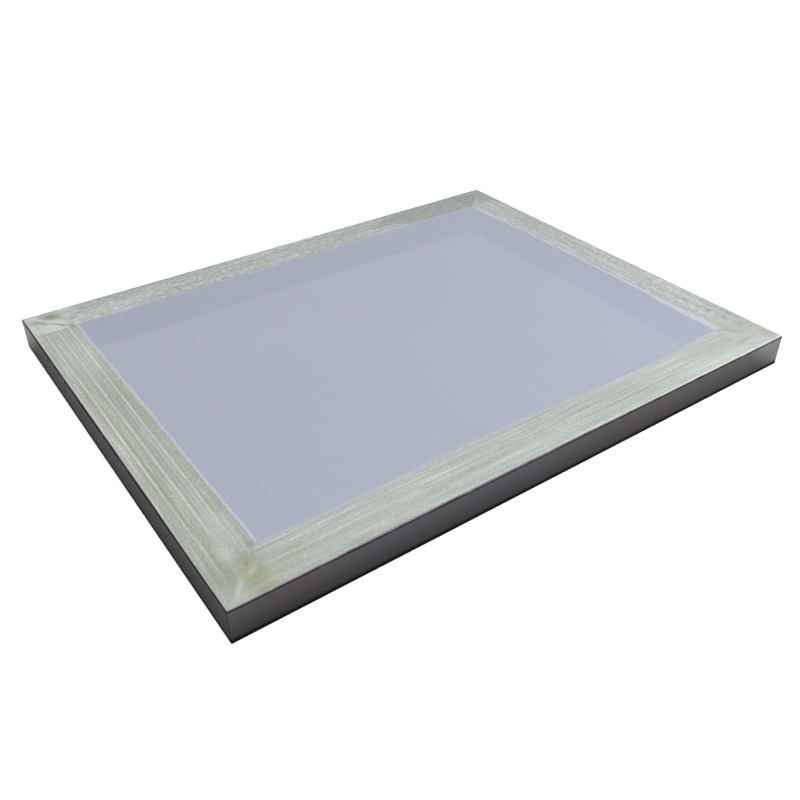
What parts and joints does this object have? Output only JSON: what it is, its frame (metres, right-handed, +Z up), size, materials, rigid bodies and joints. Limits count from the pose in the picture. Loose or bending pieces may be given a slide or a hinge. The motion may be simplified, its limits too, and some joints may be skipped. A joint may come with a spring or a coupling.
{
  "type": "screen printing frame",
  "caption": "Rectangular screen printing frame: mitred and welded aluminium box rails, with a pale polyester mesh stretched flat over the top and glued to every rail.",
  "frame": {"origin": "centre of the underside, where the frame lies on a table", "axes": "+X along the long rails, +Y from the front rail to the back rail, +Z up through the mesh"},
  "size_m": [0.46, 0.358, 0.0254],
  "materials": {
    "rail_aluminium": "satin, extruded",
    "ground_weld": "ground flush",
    "raw_weld": "as welded",
    "adhesive": "dried, brushed on",
    "mesh_fabric": "woven monofilament, stretched taut"
  },
  "bodies": {
    "root": {"front_rail": "rail_aluminium", "right_rail": "rail_aluminium", "back_rail": "rail_aluminium", "left_rail": "rail_aluminium", "polyester_mesh": "mesh_fabric", "front_adhesive": "adhesive", "right_adhesive": "adhesive", "back_adhesive": "adhesive", "left_adhesive": "adhesive", "front_left_top_weld": "ground_weld", "front_left_under_weld": "ground_weld", "front_left_outer_weld": "ground_weld", "front_left_inner_weld": "raw_weld", "front_right_top_weld": "ground_weld", "front_right_under_weld": "ground_weld", "front_right_outer_weld": "ground_weld", "front_right_inner_weld": "raw_weld", "back_right_top_weld": "ground_weld", "back_right_under_weld": "ground_weld", "back_right_outer_weld": "ground_weld", "back_right_inner_weld": "raw_weld", "back_left_top_weld": "ground_weld", "back_left_under_weld": "ground_weld", "back_left_outer_weld": "ground_weld", "back_left_inner_weld": "raw_weld"}
  },
  "joints": []
}
